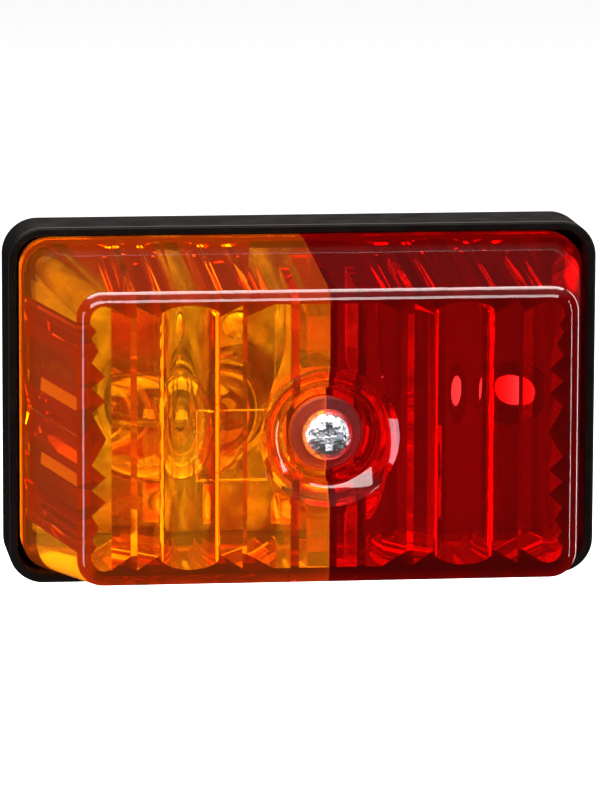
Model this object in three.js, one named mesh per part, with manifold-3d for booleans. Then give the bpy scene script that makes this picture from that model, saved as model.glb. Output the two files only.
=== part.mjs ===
// Two-colour trailer lamp: an amber and red lens on a black base in a rubber boot.
//
// Every piece is drawn as the lamp is seen from the front: x to the right, y up and
// z out of the mounting surface towards the viewer, in millimetres. The whole lamp is
// turned once, at the end, so that its face looks along -Y and its top along +Z.

import * as THREE from "three";
import { mergeVertices } from "three/addons/utils/BufferGeometryUtils.js";
import Module from "manifold-3d";

const wasm = await Module();
wasm.setup();

// ---- driving dimensions -------------------------------------------------------------

const GAP = 0.3; // between neighbouring pieces that touch on the real lamp

const BOOT_WIDTH = 100;
const BOOT_HEIGHT = 60.6;
const BOOT_DEPTH = 14;
const BOOT_WALL = 1.6;
const BOOT_FLOOR = 2;
const BOOT_CORNER = 6;

const PLATE_THICKNESS = 3.5;
const PLATE_REAR = BOOT_FLOOR + GAP;
const PLATE_FRONT = PLATE_REAR + PLATE_THICKNESS;
const LIP_WIDTH = 89; // the lip stands inside the rear edge of the lens
const LIP_HEIGHT = 49.4;
const LIP_WALL = 1.2;
const LIP_FRONT = PLATE_FRONT + 5;

const LENS_DEPTH = 50; // front of the lens from the mounting surface
const LENS_REAR = 7.6;
const LENS_WALL = 2.5;
const LENS_REAR_WIDTH = 95.1;
const LENS_REAR_HEIGHT = 55.7;
const LENS_REAR_CORNER = 5;
const LENS_FRONT_WIDTH = 81.8;
const LENS_FRONT_HEIGHT = 48.1;
const LENS_FRONT_CORNER = 4;
const LENS_EDGE_ROUND = 1.8;
const LENS_INSIDE_FRONT = LENS_DEPTH - LENS_WALL;

// Light-spreading ridges inside the lens, as distances from its middle: where a ridge
// starts, where it is highest and where it ends. The same ridges run up the front wall
// and back along the top and bottom walls.
const RIDGE_HEIGHT = 2.4;
const FRONT_RIDGES = [
  { start: 8.9, apex: 13.0, end: 13.9 },
  { start: 13.9, apex: 17.4, end: 19.3 },
  { start: 25.6, apex: 27.6, end: 31.3 },
  { start: 31.3, apex: 32.2, end: 35.4 },
];
const MIDDLE_RIDGE_TOP = 0.2; // half the width of the blunt ridge in the middle of a side
const SIDE_RIDGES = [
  { start: 3.8, apex: 6.0, end: 8.0, height: RIDGE_HEIGHT },
  { start: 8.0, apex: 10.2, end: 12.4, height: RIDGE_HEIGHT },
  { start: 12.4, apex: 14.4, end: 16.4, height: 1.3 },
  { start: 16.4, apex: 17.7, end: 19.0, height: 0.9 },
];
const RIDGES_START = 12.6; // how far forward the ridges on the walls begin

const DISH_MOUTH_RADIUS = 11.4;
const DISH_STEP_RADIUS = 8.1;
const DISH_STEP = 47.0;
const DISH_FLOOR = 44.4;
const SEAT_RADIUS = 6.0;
const SEAT_FRONT = 45.3;
const TUBE_RADIUS = 5.9;
const WEB_OFFSET = 5.5;
const WEB_THICKNESS = 1.4;
const WEB_REAR = 31;
const PARTITION_THICKNESS = 1.4; // upright wall of the red half, along the seam
const PARTITION_REAR = 20;
const PARTITION_CLEARANCE = 6.6; // radius kept free of the partition round the pillar
const LAP_WIDTH = 3.4; // red flange behind the amber walls, along the seam
const LAP_THICKNESS = 1.4;
const LAP_GAP = 0.15;
const LAP_CLEARANCE = 13.9; // radius kept free of the flange round the dish

const PILLAR_RADIUS = 5.5;
const PILLAR_FRONT = 27;
const GUSSET_FRONT = 14;
const GUSSET_SPAN = 15.2;
const GUSSET_THICKNESS = 1.4;

const SCREW_RADIUS = 1.9;
const SCREW_HEAD_RADIUS = 4.2;
const SCREW_HEAD_HEIGHT = 2.7;
const SCREW_TIP = 17;
const SCREW_UNDER_HEAD = 46.6;
const INSERT_REAR = 15.5;
const INSERT_RADIUS = 2.9;

const GLOBE_X = -24; // the globe stands in the amber half and lights both
const GLOBE_TIP = 9.1;
const GLOBE_PIN = GLOBE_TIP + 7;
const GLOBE_PUSH = 2; // how far a globe is pushed in before it is turned
const GLOBE_TURN = 22; // degrees from locked to the open slot
const CAP_RADIUS = 7.5;
const CAP_FRONT = 23.6;
const CAP_WALL = 0.5;
const GLASS_RADIUS = 9;
const GLASS_CENTRE = 35.5;
const GLASS_WALL = 0.7;
const PIN_RADIUS = 1;

const CARRIER_REAR = PLATE_FRONT + GAP;
const CARRIER_THICKNESS = 0.8;
const CARRIER_LEFT = -42.9;
const CARRIER_RIGHT = 2;
const CARRIER_HEIGHT = 46.2;
const CARRIER_FRONT = CARRIER_REAR + CARRIER_THICKNESS;
const CARRIER_HOLE_RADIUS = 5.6; // round the contact spring
const FIXING_NOTCH_RADIUS = 5.4;
const SHELL_REAR = CARRIER_FRONT + GAP;
const SHELL_INNER_RADIUS = 7.9;
const SHELL_OUTER_RADIUS = 8.6;
const SHELL_FRONT = 20.5;
const FLANGE_RADIUS = 10.4;
const FLANGE_THICKNESS = 0.8;
const EAR_OFFSET = 12.5;
const EAR_RADIUS = 3.4;
const RIVET_HOLE_RADIUS = 1.7;

const STRIP_REAR = 3.6;
const STRIP_THICKNESS = 0.6;
const STRIP_FRONT = STRIP_REAR + STRIP_THICKNESS;
const STRIP_HALF_WIDTH = 1.7;
const STRIP_LOW = -7.7; // the long bar of the strip passes below the pillar
const SPRING_SEAT_RADIUS = 3.6;
const PLUNGER_REAR = 7.7;

const FIXING_X = 39; // the two screws that hold the lamp on the trailer
const FIXING_RADIUS = 2.5;
const FIXING_SEAT_RADIUS = 4;
const FIXING_SEAT_FRONT = 7.2;
const CABLE_X = 24;
const CABLE_RADIUS = 3.1;
const GROMMET_WALL = 0.8;
const GROMMET_COLLAR = 2.1;
const CABLE_HOLE_RADIUS = CABLE_RADIUS + GROMMET_WALL + GAP;
const TERMINAL_X = 10.6;
const TERMINAL_Y = -17;
const TERMINAL_WIDTH = 6;
const TERMINAL_HEIGHT = 7;
const TERMINAL_DEPTH = 8;

const COARSE = 12;
const ROUND = 24;
const FINE = 32;

// ---- materials ------------------------------------------------------------------------

const finish = (color, roughness, metalness, extra = {}) =>
  new THREE.MeshStandardMaterial({ color, roughness, metalness, ...extra });

const glassy = { transparent: true, opacity: 0.6 };
const AMBER_ACRYLIC = finish(0xd07a18, 0.08, 0, glassy);
const RED_ACRYLIC = finish(0xa01216, 0.08, 0, glassy);
const RUBBER = finish(0x1c1b1a, 0.55, 0);
const BLACK_PLASTIC = finish(0x26241f, 0.45, 0);
const ZINC = finish(0xb8bcc0, 0.3, 1);
const BRASS = finish(0xc9a452, 0.3, 1);
const PHENOLIC = finish(0x4a2b18, 0.5, 0);
const SPRING_STEEL = finish(0x9a9da0, 0.3, 1);
const CLEAR_GLASS = finish(0xf2f5f5, 0.03, 0, glassy);
const VITRITE = finish(0x141418, 0.2, 0);
const SOLDER = finish(0xc4c6c8, 0.4, 1);
const TUNGSTEN = finish(0x6a6a6c, 0.5, 1);
const GASKET = finish(0x2b2b2b, 0.8, 0);

// ---- joining and cutting --------------------------------------------------------------

function solidOf(geometry) {
  const bare = geometry.clone();
  bare.deleteAttribute("normal");
  bare.deleteAttribute("uv");
  const merged = mergeVertices(bare, 1e-4);
  return new wasm.Manifold(
    new wasm.Mesh({
      numProp: 3,
      vertProperties: new Float32Array(merged.attributes.position.array),
      triVerts: new Uint32Array(merged.index.array),
    }),
  );
}

function geometryOf(solid) {
  const mesh = solid.getMesh();
  const geometry = new THREE.BufferGeometry();
  geometry.setAttribute("position", new THREE.BufferAttribute(mesh.vertProperties, 3));
  geometry.setIndex(new THREE.BufferAttribute(mesh.triVerts, 1));
  geometry.computeVertexNormals();
  return geometry;
}

const combine = (operation, first, others) =>
  geometryOf(
    others.reduce((solid, next) => solid[operation](solidOf(next)), solidOf(first)),
  );
const join = (first, ...others) => combine("add", first, others);
const cut = (first, ...others) => combine("subtract", first, others);
const keep = (first, ...others) => combine("intersect", first, others);

// ---- basic shapes ---------------------------------------------------------------------

// A plain outline, given by its points, between two depths.
function slab(points, rear, front) {
  const outline = new THREE.Shape(points);
  const geometry = new THREE.ExtrudeGeometry(outline, {
    depth: front - rear,
    bevelEnabled: false,
  });
  return geometry.translate(0, 0, rear);
}

function box(width, height, rear, front, x = 0, y = 0) {
  const geometry = new THREE.BoxGeometry(width, height, front - rear);
  return geometry.translate(x, y, (rear + front) / 2);
}

function rod(radius, rear, front, x = 0, y = 0, sides = ROUND) {
  const geometry = new THREE.CylinderGeometry(radius, radius, front - rear, sides);
  return geometry.rotateX(Math.PI / 2).translate(x, y, (rear + front) / 2);
}

// A turned piece: its profile is a list of [radius, depth], listed from the rear.
function turned(profile, x = 0, y = 0, sides = ROUND) {
  const points = profile.map(([radius, depth]) => new THREE.Vector2(radius, depth));
  const geometry = new THREE.LatheGeometry(points, sides);
  return geometry.rotateX(Math.PI / 2).translate(x, y, 0);
}

// A turned tube, whose profile closes on itself.
const tube = (inner, outer, rear, front, x = 0, y = 0, sides = ROUND) =>
  turned(
    [
      [inner, rear],
      [outer, rear],
      [outer, front],
      [inner, front],
      [inner, rear],
    ],
    x,
    y,
    sides,
  );

function roundedRectangle(width, height, radius, cornerSteps = 5) {
  const points = [];
  for (let corner = 0; corner < 4; corner++) {
    const middle = (corner + 0.5) * (Math.PI / 2);
    const cx = Math.sign(Math.cos(middle)) * (width / 2 - radius);
    const cy = Math.sign(Math.sin(middle)) * (height / 2 - radius);
    for (let step = 0; step <= cornerSteps; step++) {
      const angle = (corner + step / cornerSteps) * (Math.PI / 2);
      points.push(
        new THREE.Vector2(cx + radius * Math.cos(angle), cy + radius * Math.sin(angle)),
      );
    }
  }
  return points;
}

// A closed skin over outlines with equally many points, each at its own depth.
function loft(layers) {
  const count = layers[0].points.length;
  const positions = layers.flatMap(({ points, depth }) =>
    points.flatMap((point) => [point.x, point.y, depth]),
  );
  const index = [];
  for (let layer = 0; layer < layers.length - 1; layer++) {
    for (let i = 0; i < count; i++) {
      const a = layer * count + i;
      const b = layer * count + ((i + 1) % count);
      index.push(a, b, b + count, a, b + count, a + count);
    }
  }
  const last = (layers.length - 1) * count;
  for (const [a, b, c] of THREE.ShapeUtils.triangulateShape(layers[0].points, [])) {
    index.push(a, c, b);
  }
  for (const [a, b, c] of THREE.ShapeUtils.triangulateShape(layers.at(-1).points, [])) {
    index.push(last + a, last + b, last + c);
  }
  const geometry = new THREE.BufferGeometry();
  geometry.setAttribute("position", new THREE.Float32BufferAttribute(positions, 3));
  geometry.setIndex(index);
  return geometry;
}

// The part of a ring between two angles, in degrees anticlockwise from +x.
function sector(inner, outer, from, to, rear, front, x) {
  const steps = 6;
  const arc = (radius, first, last) =>
    Array.from({ length: steps + 1 }, (_, i) => {
      const angle = THREE.MathUtils.degToRad(first + ((last - first) * i) / steps);
      return new THREE.Vector2(x + radius * Math.cos(angle), radius * Math.sin(angle));
    });
  return slab([...arc(outer, from, to), ...arc(inner, to, from)], rear, front);
}

// ---- the lamp as nested groups --------------------------------------------------------

const lamp = new THREE.Group();
const base = new THREE.Group();
const lens = new THREE.Group();
lamp.add(base, lens);

function place(group, name, geometry, material) {
  const mesh = new THREE.Mesh(geometry, material);
  mesh.name = name;
  group.add(mesh);
}

// ---- boot, base plate and seal --------------------------------------------------------

function boot() {
  const outside = roundedRectangle(BOOT_WIDTH, BOOT_HEIGHT, BOOT_CORNER, 6);
  const inside = roundedRectangle(
    BOOT_WIDTH - 2 * BOOT_WALL,
    BOOT_HEIGHT - 2 * BOOT_WALL,
    BOOT_CORNER - BOOT_WALL,
    6,
  );
  return cut(
    slab(outside, 0, BOOT_DEPTH),
    slab(inside, BOOT_FLOOR, BOOT_DEPTH + 1),
    rod(FIXING_RADIUS, -1, BOOT_FLOOR + 1, -FIXING_X, 0, COARSE),
    rod(FIXING_RADIUS, -1, BOOT_FLOOR + 1, FIXING_X, 0, COARSE),
    rod(CABLE_HOLE_RADIUS, -1, BOOT_FLOOR + 1, CABLE_X),
  );
}

// The live strip runs from the globe's spring seat, below the pillar, to its terminal.
function liveStripOutline(margin) {
  const half = STRIP_HALF_WIDTH + margin;
  const corners = [
    [GLOBE_X - half, STRIP_LOW - half],
    [TERMINAL_X - half, STRIP_LOW - half],
    [TERMINAL_X - half, TERMINAL_Y - half],
    [TERMINAL_X + half, TERMINAL_Y - half],
    [TERMINAL_X + half, STRIP_LOW + half],
    [GLOBE_X + half, STRIP_LOW + half],
    [GLOBE_X + half, half],
    [GLOBE_X - half, half],
  ];
  return corners.map(([x, y]) => new THREE.Vector2(x, y));
}

function basePlate() {
  const plate = slab(roundedRectangle(95, 55.4, 4.6), PLATE_REAR, PLATE_FRONT);
  const lip = cut(
    slab(roundedRectangle(LIP_WIDTH, LIP_HEIGHT, 2.6), PLATE_REAR + 1, LIP_FRONT),
    slab(
      roundedRectangle(LIP_WIDTH - 2 * LIP_WALL, LIP_HEIGHT - 2 * LIP_WALL, 1.4),
      PLATE_REAR,
      LIP_FRONT + 1,
    ),
  );
  const pillar = rod(PILLAR_RADIUS, PLATE_REAR + 1, PILLAR_FRONT);
  const gussets = [
    box(GUSSET_SPAN, GUSSET_THICKNESS, PLATE_REAR + 1, GUSSET_FRONT),
    box(GUSSET_THICKNESS, GUSSET_SPAN, PLATE_REAR + 1, GUSSET_FRONT),
  ];
  const seats = [-FIXING_X, FIXING_X].map((x) =>
    rod(FIXING_SEAT_RADIUS, PLATE_REAR + 1, FIXING_SEAT_FRONT, x),
  );
  const recess = STRIP_REAR - GAP;
  const holes = [
    rod(INSERT_RADIUS + GAP, INSERT_REAR - GAP, PILLAR_FRONT + 1),
    rod(FIXING_RADIUS, 0, FIXING_SEAT_FRONT + 1, -FIXING_X, 0, COARSE),
    rod(FIXING_RADIUS, 0, FIXING_SEAT_FRONT + 1, FIXING_X, 0, COARSE),
    rod(CABLE_HOLE_RADIUS, 0, PLATE_FRONT + 1, CABLE_X),
    slab(liveStripOutline(GAP), recess, PLATE_FRONT + 1),
    box(
      TERMINAL_WIDTH + 2 * GAP,
      TERMINAL_HEIGHT + 2 * GAP,
      recess,
      PLATE_FRONT + 1,
      TERMINAL_X,
      TERMINAL_Y,
    ),
    rod(SPRING_SEAT_RADIUS, recess, PLATE_FRONT + 1, GLOBE_X),
  ];
  for (const end of [-1, 1]) {
    holes.push(rod(RIVET_HOLE_RADIUS, recess, 9, GLOBE_X, end * EAR_OFFSET, COARSE));
  }
  return cut(join(plate, lip, pillar, ...gussets, ...seats), ...holes);
}

const sealOutside = roundedRectangle(95.2, 55.8, 4.7);
const sealInside = roundedRectangle(90.2, 50.8, 2.6);
const lensSeal = cut(slab(sealOutside, 6.1, 7.3), slab(sealInside, 5, 8));

const insert = tube(SCREW_RADIUS + GAP, INSERT_RADIUS, INSERT_REAR, PILLAR_FRONT);

place(base, "rubber_boot", boot(), RUBBER);
place(base, "base_plate", basePlate(), BLACK_PLASTIC);
place(base, "lens_seal", lensSeal, GASKET);
place(base, "threaded_insert", insert, BRASS);

// The cable grommet sleeves the hole through plate and boot.
const grommetRear = 0.2;
const grommetShoulder = PLATE_FRONT + GAP;
const grommet = turned(
  [
    [CABLE_RADIUS, grommetRear],
    [CABLE_RADIUS + GROMMET_WALL, grommetRear],
    [CABLE_RADIUS + GROMMET_WALL, grommetShoulder],
    [CABLE_RADIUS + GROMMET_COLLAR, grommetShoulder],
    [CABLE_RADIUS + GROMMET_COLLAR, grommetShoulder + 1],
    [CABLE_RADIUS, grommetShoulder + 1],
    [CABLE_RADIUS, grommetRear],
  ],
  CABLE_X,
);
place(base, "cable_grommet", grommet, RUBBER);

// ---- carrier plate, live strip, terminals ---------------------------------------------

// A bright plate over the amber half of the floor. It throws the globe's light forward
// and joins the globe holder to the earth terminal.
function carrierPlate() {
  const middle = (CARRIER_LEFT + CARRIER_RIGHT) / 2;
  const outline = roundedRectangle(CARRIER_RIGHT - CARRIER_LEFT, CARRIER_HEIGHT, 1.4);
  const sheet = slab(outline, CARRIER_REAR, CARRIER_FRONT).translate(middle, 0, 0);
  const ears = [-1, 1].map((end) =>
    rod(RIVET_HOLE_RADIUS, 0, 20, GLOBE_X, end * EAR_OFFSET, COARSE),
  );
  return cut(
    sheet,
    rod(GUSSET_SPAN / 2 + GAP, 0, 20),
    rod(CARRIER_HOLE_RADIUS, 0, 20, GLOBE_X),
    rod(FIXING_NOTCH_RADIUS, 0, 20, -FIXING_X),
    ...ears,
  );
}

const liveStrip = slab(liveStripOutline(0), STRIP_REAR, STRIP_FRONT);
place(base, "carrier_plate", carrierPlate(), ZINC);
place(base, "live_strip", liveStrip, BRASS);

// A terminal is a brass block with a wire hole from below and a clamping screw in front.
function terminal(name, x, rear) {
  const y = TERMINAL_Y;
  const front = rear + TERMINAL_DEPTH;
  const wireRear = rear + 1.6;
  const wireFront = rear + 4.2;
  const block = cut(
    box(TERMINAL_WIDTH, TERMINAL_HEIGHT, rear, front, x, y),
    rod(1.7, wireFront + 0.2, front + 1, x, y, COARSE),
    box(2.4, TERMINAL_HEIGHT + 2, wireRear, wireFront, x, y - 1),
  );
  const slotFloor = front + 1.1;
  const screw = cut(
    join(
      rod(1.4, wireFront + 0.5, front + 0.5, x, y, COARSE),
      rod(2.3, front + GAP, front + 1.9, x, y),
    ),
    box(0.6, 6, slotFloor, slotFloor + 2, x, y),
  );
  place(base, name + "_terminal_block", block, BRASS);
  place(base, name + "_terminal_screw", screw, ZINC);
}
terminal("live", TERMINAL_X, STRIP_FRONT + GAP);
terminal("earth", -TERMINAL_X, CARRIER_FRONT + GAP);

// ---- globe holder ---------------------------------------------------------------------

// A bayonet shell riveted to the carrier plate. Each of its two slots lets a pin in from
// the front and then round to the locked place, with room for the push before the turn.
function holderShell() {
  const x = GLOBE_X;
  const flangeFront = SHELL_REAR + FLANGE_THICKNESS;
  const ears = [-1, 1].map((end) =>
    rod(EAR_RADIUS, SHELL_REAR, flangeFront, x, end * EAR_OFFSET, COARSE),
  );
  const neck = box(2 * EAR_RADIUS, 2 * EAR_OFFSET, SHELL_REAR, flangeFront, x);
  const flange = rod(FLANGE_RADIUS, SHELL_REAR, flangeFront, x);
  const wall = rod(SHELL_OUTER_RADIUS, SHELL_REAR, SHELL_FRONT, x, 0, FINE);
  const room = 9.6; // degrees each side of a pin
  const low = GLOBE_PIN - GLOBE_PUSH - PIN_RADIUS - GAP;
  const high = GLOBE_PIN + PIN_RADIUS + GAP;
  const slot = (from, to, front) =>
    sector(SHELL_INNER_RADIUS - 1, SHELL_OUTER_RADIUS + 1, from, to, low, front, x);
  const cuts = [rod(SHELL_INNER_RADIUS, SHELL_REAR - 1, SHELL_FRONT + 1, x, 0, FINE)];
  for (const pin of [90, 270]) {
    const entry = pin + GLOBE_TURN;
    cuts.push(slot(pin - room, entry + room, high));
    cuts.push(slot(entry - room, entry + room, SHELL_FRONT + 1));
  }
  for (const end of [-1, 1]) {
    const y = end * EAR_OFFSET;
    cuts.push(rod(RIVET_HOLE_RADIUS, SHELL_REAR - 1, flangeFront + 1, x, y, COARSE));
  }
  return cut(join(wall, flange, neck, ...ears), ...cuts);
}

// A conical contact spring: a square wire that climbs two turns while it narrows.
function contactSpring() {
  const turns = 2.2;
  const wire = 0.28;
  const rear = STRIP_FRONT + 0.1 + wire;
  const front = PLUNGER_REAR - 0.1 - wire;
  const steps = 34;
  const path = new THREE.CatmullRomCurve3(
    Array.from({ length: steps + 1 }, (_, i) => {
      const share = i / steps;
      const angle = share * turns * 2 * Math.PI;
      const radius = 2.9 - 1.6 * share;
      return new THREE.Vector3(
        GLOBE_X + radius * Math.cos(angle),
        radius * Math.sin(angle),
        rear + (front - rear) * share,
      );
    }),
  );
  const section = new THREE.Shape([
    new THREE.Vector2(-wire, -wire),
    new THREE.Vector2(wire, -wire),
    new THREE.Vector2(wire, wire),
    new THREE.Vector2(-wire, wire),
  ]);
  return new THREE.ExtrudeGeometry(section, { steps: 44, extrudePath: path });
}

function rivet(y) {
  const head = SHELL_REAR + FLANGE_THICKNESS + GAP;
  return turned(
    [
      [0, STRIP_REAR],
      [1.4, STRIP_REAR],
      [1.4, head],
      [2.5, head],
      [2.2, head + 0.7],
      [1.2, head + 1.1],
      [0, head + 1.2],
    ],
    GLOBE_X,
    y,
    COARSE,
  );
}

const disc = tube(2.3, 7.5, SHELL_REAR, SHELL_REAR + 0.8, GLOBE_X);
const plunger = rod(1.9, PLUNGER_REAR, GLOBE_TIP - 0.15, GLOBE_X, 0, COARSE);
place(base, "holder_shell", holderShell(), ZINC);
place(base, "insulator_disc", disc, PHENOLIC);
place(base, "contact_plunger", plunger, BRASS);
place(base, "contact_spring", contactSpring(), SPRING_STEEL);
place(base, "upper_rivet", rivet(EAR_OFFSET), ZINC);
place(base, "lower_rivet", rivet(-EAR_OFFSET), ZINC);

// ---- globe ----------------------------------------------------------------------------

function globeCap() {
  const rear = GLOBE_TIP + 1.3;
  const shoulder = GLOBE_TIP + 2.2;
  const sleeve = turned(
    [
      [5.1, rear],
      [CAP_RADIUS - 0.6, rear],
      [CAP_RADIUS, rear + 0.6],
      [CAP_RADIUS, CAP_FRONT],
      [CAP_RADIUS - CAP_WALL, CAP_FRONT],
      [CAP_RADIUS - CAP_WALL, shoulder],
      [5.1, shoulder],
      [5.1, rear],
    ],
    GLOBE_X,
  );
  const pin = (side) =>
    new THREE.CylinderGeometry(PIN_RADIUS, PIN_RADIUS, 1.7, COARSE).translate(
      GLOBE_X,
      side * (CAP_RADIUS + 0.55),
      GLOBE_PIN,
    );
  return join(sleeve, pin(-1), pin(1));
}

// The glass is a ball on a neck that stands inside the cap. Its rear end is open.
function globeGlass() {
  const neck = 6.4;
  const rear = CAP_FRONT - 2;
  const steps = 10;
  // A ball's profile, listed from its front to where it meets the neck.
  const ballProfile = (ball, throat) => {
    const neckAngle = Math.PI - Math.asin(throat / ball);
    return Array.from({ length: steps + 1 }, (_, i) => {
      const angle = (neckAngle * i) / steps;
      return [ball * Math.sin(angle), GLASS_CENTRE + ball * Math.cos(angle)];
    });
  };
  const outer = ballProfile(GLASS_RADIUS, neck);
  const inner = ballProfile(GLASS_RADIUS - GLASS_WALL, neck - GLASS_WALL);
  const profile = [...inner, [neck - GLASS_WALL, rear], [neck, rear], ...outer.toReversed()];
  return turned(profile, GLOBE_X);
}

function globeFilament() {
  const x = GLOBE_X;
  const coilDepth = 33.8;
  const bead = rod(2.4, CAP_FRONT - 2, CAP_FRONT + 2, x, 0, COARSE);
  const wires = [-2, 2].map((dx) => rod(0.3, CAP_FRONT, coilDepth + 0.2, x + dx, 0, 8));
  const coil = new THREE.CylinderGeometry(0.45, 0.45, 5, 8)
    .rotateZ(Math.PI / 2)
    .translate(x, 0, coilDepth);
  return join(bead, ...wires, coil);
}

const insulator = tube(1.6, 4.8, GLOBE_TIP + 1.0, GLOBE_TIP + 2.6, GLOBE_X);
const contact = turned(
  [
    [0, GLOBE_TIP],
    [1.4, GLOBE_TIP + 0.2],
    [2.2, GLOBE_TIP + 0.7],
    [1.3, GLOBE_TIP + 0.7],
    [1.3, GLOBE_TIP + 2.6],
    [0, GLOBE_TIP + 2.6],
  ],
  GLOBE_X,
  0,
  COARSE,
);
place(base, "globe_cap", globeCap(), BRASS);
place(base, "globe_glass", globeGlass(), CLEAR_GLASS);
place(base, "globe_filament", globeFilament(), TUNGSTEN);
place(base, "globe_insulator", insulator, VITRITE);
place(base, "globe_contact", contact, SOLDER);

// ---- lens -----------------------------------------------------------------------------

// Width, height and corner radius of the lens outside at a depth: straight inside the
// boot, tapering from its rim to the front.
function lensSizeAt(depth) {
  const straight = LENS_DEPTH - LENS_EDGE_ROUND;
  const share = Math.max(0, (depth - BOOT_DEPTH) / (straight - BOOT_DEPTH));
  return {
    width: THREE.MathUtils.lerp(LENS_REAR_WIDTH, LENS_FRONT_WIDTH, share),
    height: THREE.MathUtils.lerp(LENS_REAR_HEIGHT, LENS_FRONT_HEIGHT, share),
    corner: THREE.MathUtils.lerp(LENS_REAR_CORNER, LENS_FRONT_CORNER, share),
  };
}

function lensOutside() {
  const layer = (sizedAt, forward, inset) => {
    const { width, height, corner } = lensSizeAt(sizedAt);
    return {
      depth: sizedAt + forward,
      points: roundedRectangle(width - 2 * inset, height - 2 * inset, corner - inset),
    };
  };
  const layers = [layer(LENS_REAR, 0, 0), layer(BOOT_DEPTH, 0, 0)];
  const steps = 4;
  for (let i = 0; i <= steps; i++) {
    const angle = ((i / steps) * Math.PI) / 2;
    const forward = LENS_EDGE_ROUND * Math.sin(angle);
    const inset = LENS_EDGE_ROUND * (1 - Math.cos(angle));
    layers.push(layer(LENS_DEPTH - LENS_EDGE_ROUND, forward, inset));
  }
  return loft(layers);
}

// The inside outline with its ridges: one quarter, turned and mirrored into four.
function ridgedOutline(width, height, corner) {
  const halfWidth = width / 2;
  const halfHeight = height / 2;
  const quarter = [[halfWidth - RIDGE_HEIGHT, MIDDLE_RIDGE_TOP]];
  for (const { start, apex, end, height } of SIDE_RIDGES) {
    quarter.push([halfWidth, start], [halfWidth - height, apex]);
    quarter.push([halfWidth, end - 0.02]);
  }
  for (let step = 0; step <= 4; step++) {
    const angle = ((step / 4) * Math.PI) / 2;
    quarter.push([
      halfWidth - corner + corner * Math.cos(angle),
      halfHeight - corner + corner * Math.sin(angle),
    ]);
  }
  for (const { start, apex, end } of FRONT_RIDGES.toReversed()) {
    quarter.push([end, halfHeight], [apex, halfHeight - RIDGE_HEIGHT]);
    quarter.push([start + 0.02, halfHeight]);
  }
  const back = quarter.toReversed();
  const all = [
    ...quarter,
    ...back.map(([x, y]) => [-x, y]),
    ...quarter.map(([x, y]) => [-x, -y]),
    ...back.map(([x, y]) => [x, -y]),
  ];
  return all.map(([x, y]) => new THREE.Vector2(x, y));
}

function lensInside() {
  const layer = (depth) => {
    const { width, height } = lensSizeAt(depth);
    return {
      depth,
      points: ridgedOutline(width - 2 * LENS_WALL, height - 2 * LENS_WALL, 2.4),
    };
  };
  const ridged = loft([layer(RIDGES_START), layer(LENS_INSIDE_FRONT)]);
  const mouth = slab(
    roundedRectangle(
      LENS_REAR_WIDTH - 2 * LENS_WALL,
      LENS_REAR_HEIGHT - 2 * LENS_WALL,
      2.5,
    ),
    LENS_REAR - 1,
    RIDGES_START + 0.1,
  );
  const frontRidges = FRONT_RIDGES.flatMap(({ start, apex, end }) =>
    [-1, 1].map((side) => {
      const triangle = new THREE.Shape([
        new THREE.Vector2(side * start, LENS_INSIDE_FRONT + 1),
        new THREE.Vector2(side * start, LENS_INSIDE_FRONT),
        new THREE.Vector2(side * apex, LENS_INSIDE_FRONT - RIDGE_HEIGHT),
        new THREE.Vector2(side * end, LENS_INSIDE_FRONT),
        new THREE.Vector2(side * end, LENS_INSIDE_FRONT + 1),
      ]);
      return new THREE.ExtrudeGeometry(triangle, { depth: 60, bevelEnabled: false })
        .translate(0, 0, -30)
        .rotateX(Math.PI / 2);
    }),
  );
  return cut(join(ridged, mouth), ...frontRidges);
}

// The dish for the screw, the tube behind it, the two webs that brace the tube and the
// partition along the seam.
function lensMiddle() {
  const profile = [
    [0, PILLAR_FRONT + GAP],
    [TUBE_RADIUS, PILLAR_FRONT + GAP],
    [TUBE_RADIUS, 42.2],
    [9.9, 42.2],
    [10.2, 44.6],
    [13.6, LENS_INSIDE_FRONT + 0.2],
    [13.6, LENS_DEPTH - 0.5],
    [0, LENS_DEPTH - 0.5],
  ];
  const webs = [-1, 1].map((side) =>
    box(WEB_THICKNESS, 47, WEB_REAR, LENS_INSIDE_FRONT + 1, side * WEB_OFFSET),
  );
  const partition = cut(
    box(
      PARTITION_THICKNESS,
      47,
      PARTITION_REAR,
      LENS_INSIDE_FRONT + 1,
      PARTITION_THICKNESS / 2,
    ),
    rod(PARTITION_CLEARANCE, 0, PILLAR_FRONT + GAP),
  );
  return join(turned(profile, 0, 0, FINE), ...webs, partition);
}

function lensShell() {
  const recess = [
    [0, SEAT_FRONT],
    [SEAT_RADIUS, SEAT_FRONT],
    [SEAT_RADIUS, DISH_FLOOR],
    [DISH_STEP_RADIUS - 0.4, DISH_FLOOR],
    [DISH_STEP_RADIUS, DISH_STEP],
    [DISH_STEP_RADIUS + 1.1, DISH_STEP + 0.1],
    [DISH_MOUTH_RADIUS - 0.5, LENS_DEPTH - 0.5],
    [DISH_MOUTH_RADIUS + 0.2, LENS_DEPTH + 0.2],
    [0, LENS_DEPTH + 0.2],
  ];
  const screwWay = rod(SCREW_RADIUS + 2 * GAP, 20, LENS_DEPTH);
  const outside = lensOutside();
  const walls = join(cut(outside, lensInside()), keep(lensMiddle(), outside));
  return cut(walls, turned(recess, 0, 0, FINE), screwWay);
}

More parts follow.
